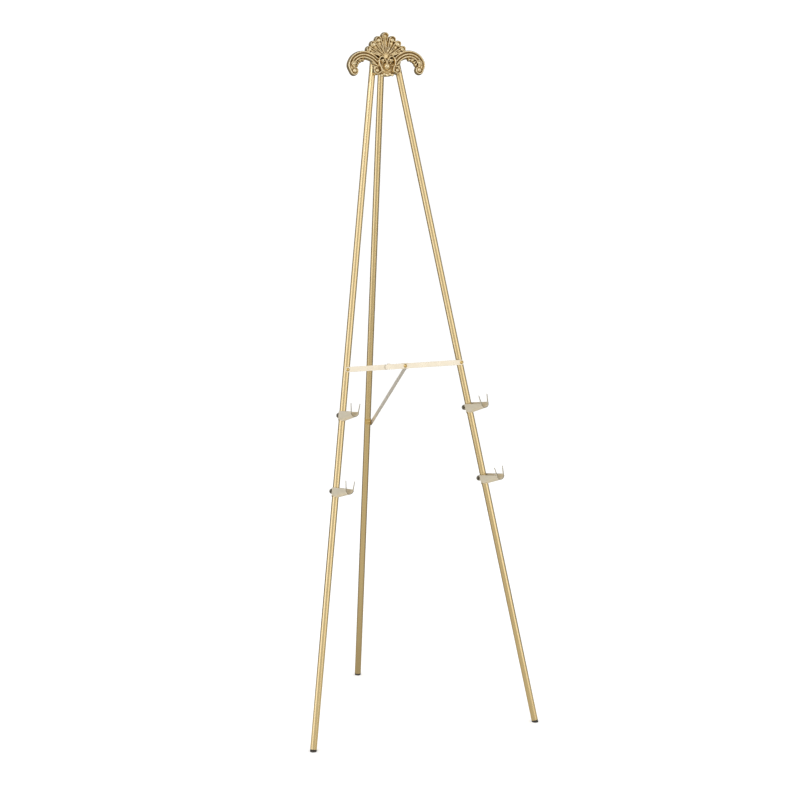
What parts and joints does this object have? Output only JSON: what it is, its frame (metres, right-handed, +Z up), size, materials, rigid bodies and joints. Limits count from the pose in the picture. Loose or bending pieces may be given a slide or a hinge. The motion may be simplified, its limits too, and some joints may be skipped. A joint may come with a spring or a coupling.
{
  "type": "display easel",
  "caption": "Folding tripod floor easel of thin gold tubes with an ornate cast crest, a folding cross bar with a rear brace, and sliding two-pronged picture hooks.",
  "frame": {"origin": "on the floor at the centre of the object's box, midway between the front feet and the rear foot", "axes": "+Z up, -Y to the front where the picture faces, +X to the right seen from the front"},
  "size_m": [0.5948, 0.5148, 1.6822],
  "materials": {
    "antique_gold": "cast, antiqued gold with dark recesses",
    "gold_tube": "satin champagne-gold lacquer over steel tube",
    "champagne_strap": "pale champagne satin plate",
    "hook_metal": "pale beige-gold satin plate",
    "brass_rivets": "polished",
    "steel_parts": "nickel plated",
    "black_rubber": "matt"
  },
  "bodies": {
    "head": {"crest_casting": "antique_gold", "head_bracket": "gold_tube", "crest_screws": "steel_parts", "front_leg_pivot_rivets": "brass_rivets", "rear_leg_hinge_pin": "brass_rivets"},
    "left_leg": {"left_leg_tube": "gold_tube", "left_foot_plug": "black_rubber", "left_top_plug": "black_rubber"},
    "right_leg": {"right_leg_tube": "gold_tube", "right_foot_plug": "black_rubber", "right_top_plug": "black_rubber"},
    "rear_leg": {"rear_leg_tube": "gold_tube", "rear_foot_plug": "black_rubber", "rear_top_plug": "black_rubber", "rear_leg_clip": "brass_rivets", "rear_clip_rivet": "brass_rivets"},
    "centre_pivot": {"centre_rivet": "brass_rivets", "brace_clip": "champagne_strap", "brace_pin": "brass_rivets"},
    "left_bar": {"left_cross_bar": "champagne_strap", "left_bar_rivet": "brass_rivets"},
    "right_bar": {"right_cross_bar": "champagne_strap", "right_bar_rivet": "brass_rivets", "right_bar_spacer": "brass_rivets"},
    "brace": {"brace_strut": "champagne_strap", "brace_foot_rivet": "brass_rivets"},
    "left_upper_hook": {"left_upper_hook": "hook_metal", "left_upper_hook_nut": "steel_parts"},
    "left_upper_thumbscrew": {"left_upper_thumbscrew": "steel_parts"},
    "left_lower_hook": {"left_lower_hook": "hook_metal", "left_lower_hook_nut": "steel_parts"},
    "left_lower_thumbscrew": {"left_lower_thumbscrew": "steel_parts"},
    "right_upper_hook": {"right_upper_hook": "hook_metal", "right_upper_hook_nut": "steel_parts"},
    "right_upper_thumbscrew": {"right_upper_thumbscrew": "steel_parts"},
    "right_lower_hook": {"right_lower_hook": "hook_metal", "right_lower_hook_nut": "steel_parts"},
    "right_lower_thumbscrew": {"right_lower_thumbscrew": "steel_parts"}
  },
  "joints": [
    {"name": "rear_leg_fold", "type": "hinge", "parent": "head", "child": "rear_leg", "pos_m": [0, 0.05893, 1.61597], "axis": [-1, 0, 0], "range_deg": [0, 16.78]},
    {"name": "left_leg_fold", "type": "hinge", "parent": "head", "child": "left_leg", "pos_m": [-0.0295, 0.03669, 1.61484], "axis": [0, -0.9847, 0.1745], "range_deg": [0, 9.01]},
    {"name": "right_leg_fold", "type": "hinge", "parent": "head", "child": "right_leg", "pos_m": [0.0295, 0.03669, 1.61484], "axis": [0, 0.9847, -0.1745], "range_deg": [0, 9.01]},
    {"name": "centre_pivot_rise", "type": "slide", "parent": "head", "child": "centre_pivot", "axis": [0, 0.1745, 0.9847], "range_m": [0, 0.13439]},
    {"name": "left_bar_fold", "type": "hinge", "parent": "centre_pivot", "child": "left_bar", "pos_m": [0, -0.09216, 0.88777], "axis": [0, -0.9847, 0.1745], "range_deg": [0, 78.39]},
    {"name": "right_bar_fold", "type": "hinge", "parent": "centre_pivot", "child": "right_bar", "pos_m": [0, -0.09216, 0.88777], "axis": [0, 0.9847, -0.1745], "range_deg": [0, 78.39]},
    {"name": "brace_fold", "type": "hinge", "parent": "centre_pivot", "child": "brace", "pos_m": [0, -0.08626, 0.88672], "axis": [-1, 0, 0], "range_deg": [0, 60.4]},
    {"name": "left_upper_hook_slide", "type": "slide", "parent": "left_leg", "child": "left_upper_hook", "axis": [0.1566, 0.1724, 0.9725], "range_m": [-0.075, 0.075]},
    {"name": "left_upper_thumbscrew_turn", "type": "hinge", "parent": "left_upper_hook", "child": "left_upper_thumbscrew", "pos_m": [-0.16384, -0.11118, 0.78046], "axis": [-0.0086, 0.9849, -0.1732], "continuous": true},
    {"name": "left_lower_hook_slide", "type": "slide", "parent": "left_leg", "child": "left_lower_hook", "axis": [0.1566, 0.1724, 0.9725], "range_m": [-0.3, 0.06]},
    {"name": "left_lower_thumbscrew_turn", "type": "hinge", "parent": "left_lower_hook", "child": "left_lower_thumbscrew", "pos_m": [-0.19246, -0.14268, 0.60273], "axis": [-0.0517, 0.9847, -0.1662], "continuous": true},
    {"name": "right_upper_hook_slide", "type": "slide", "parent": "right_leg", "child": "right_upper_hook", "axis": [-0.1566, 0.1724, 0.9725], "range_m": [-0.075, 0.075]},
    {"name": "right_upper_thumbscrew_turn", "type": "hinge", "parent": "right_upper_hook", "child": "right_upper_thumbscrew", "pos_m": [0.16416, -0.11153, 0.77849], "axis": [-0.0861, 0.9785, -0.1873], "continuous": true},
    {"name": "right_lower_hook_slide", "type": "slide", "parent": "right_leg", "child": "right_lower_hook", "axis": [-0.1566, 0.1724, 0.9725], "range_m": [-0.3, 0.06]},
    {"name": "right_lower_thumbscrew_turn", "type": "hinge", "parent": "right_lower_hook", "child": "right_lower_thumbscrew", "pos_m": [0.19214, -0.14233, 0.6047], "axis": [-0.1032, 0.9764, -0.1897], "continuous": true}
  ],
  "couplings": [
    {"joint": "left_leg_fold", "follows": "rear_leg_fold", "ratio": 0.537},
    {"joint": "right_leg_fold", "follows": "rear_leg_fold", "ratio": 0.537},
    {"joint": "left_bar_fold", "follows": "rear_leg_fold", "ratio": 4.6727},
    {"joint": "right_bar_fold", "follows": "rear_leg_fold", "ratio": 4.6727},
    {"joint": "brace_fold", "follows": "rear_leg_fold", "ratio": 3.6005},
    {"joint": "centre_pivot_rise", "follows": "rear_leg_fold", "m_per_rad": 0.45883}
  ]
}
